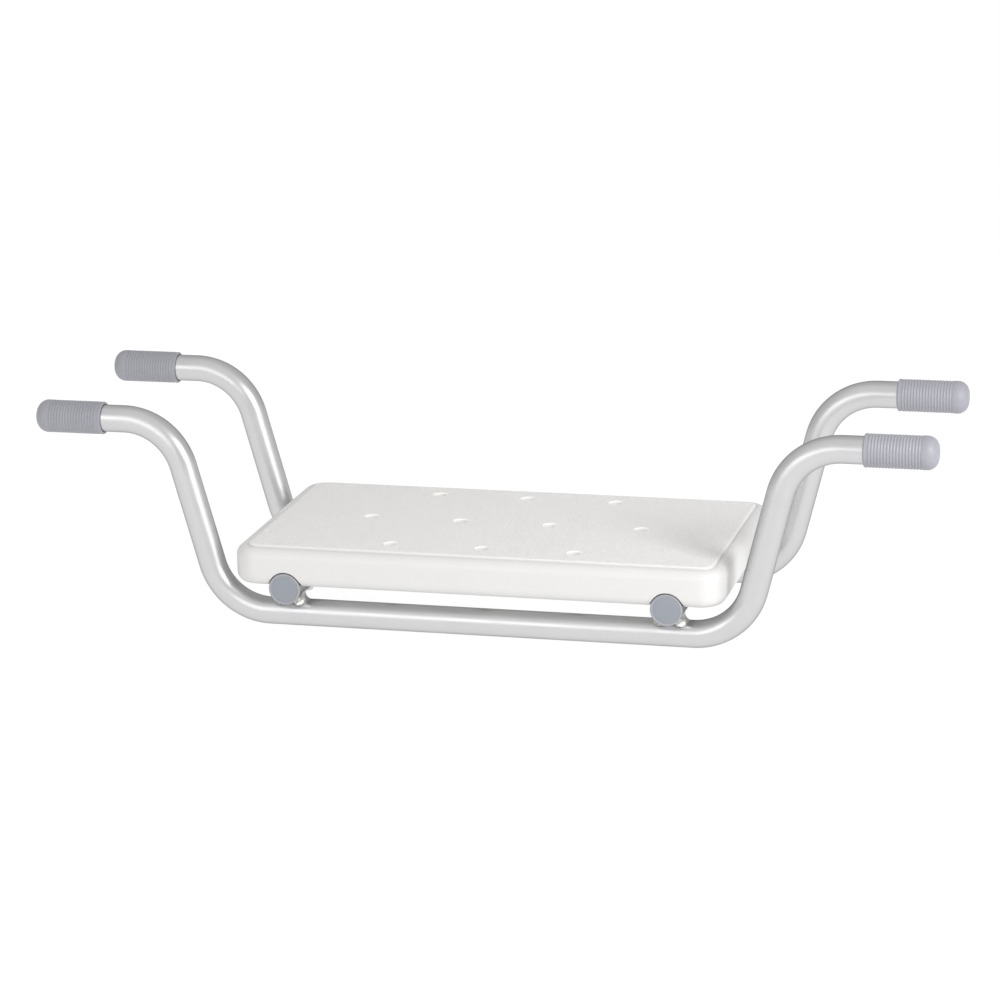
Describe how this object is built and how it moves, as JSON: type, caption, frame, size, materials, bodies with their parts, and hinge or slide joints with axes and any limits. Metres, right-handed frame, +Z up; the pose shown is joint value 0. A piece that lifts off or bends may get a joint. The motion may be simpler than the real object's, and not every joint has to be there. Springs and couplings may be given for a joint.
{
  "type": "bath transfer bench",
  "caption": "Suspended bath seat: a white board with drain holes on a silver tube frame, whose gripped arms rest on the bath's rims.",
  "frame": {"origin": "under the middle of the bench, level with the lowest line of the two rails", "axes": "+X from rim to rim along the seat board, +Y to the rear, +Z up"},
  "size_m": [0.73, 0.214, 0.1787],
  "materials": {
    "frame_tube": "satin",
    "weld": "satin",
    "grip_rubber": "matte",
    "plug_plastic": "matte",
    "seat_plastic": "satin",
    "fastener_steel": "satin"
  },
  "bodies": {
    "root": {"front_rail": "frame_tube", "rear_rail": "frame_tube", "left_cross_tube": "frame_tube", "right_cross_tube": "frame_tube", "front_left_weld_left_side": "weld", "front_left_weld_right_side": "weld", "front_right_weld_left_side": "weld", "front_right_weld_right_side": "weld", "rear_left_weld_left_side": "weld", "rear_left_weld_right_side": "weld", "rear_right_weld_left_side": "weld", "rear_right_weld_right_side": "weld", "front_left_grip": "grip_rubber", "front_right_grip": "grip_rubber", "rear_left_grip": "grip_rubber", "rear_right_grip": "grip_rubber", "front_left_tube_plug": "plug_plastic", "front_right_tube_plug": "plug_plastic", "rear_left_tube_plug": "plug_plastic", "rear_right_tube_plug": "plug_plastic", "seat_board": "seat_plastic", "front_left_seat_screw": "fastener_steel", "front_right_seat_screw": "fastener_steel", "rear_left_seat_screw": "fastener_steel", "rear_right_seat_screw": "fastener_steel", "front_left_screw_washer": "fastener_steel", "front_right_screw_washer": "fastener_steel", "rear_left_screw_washer": "fastener_steel", "rear_right_screw_washer": "fastener_steel"}
  },
  "joints": []
}
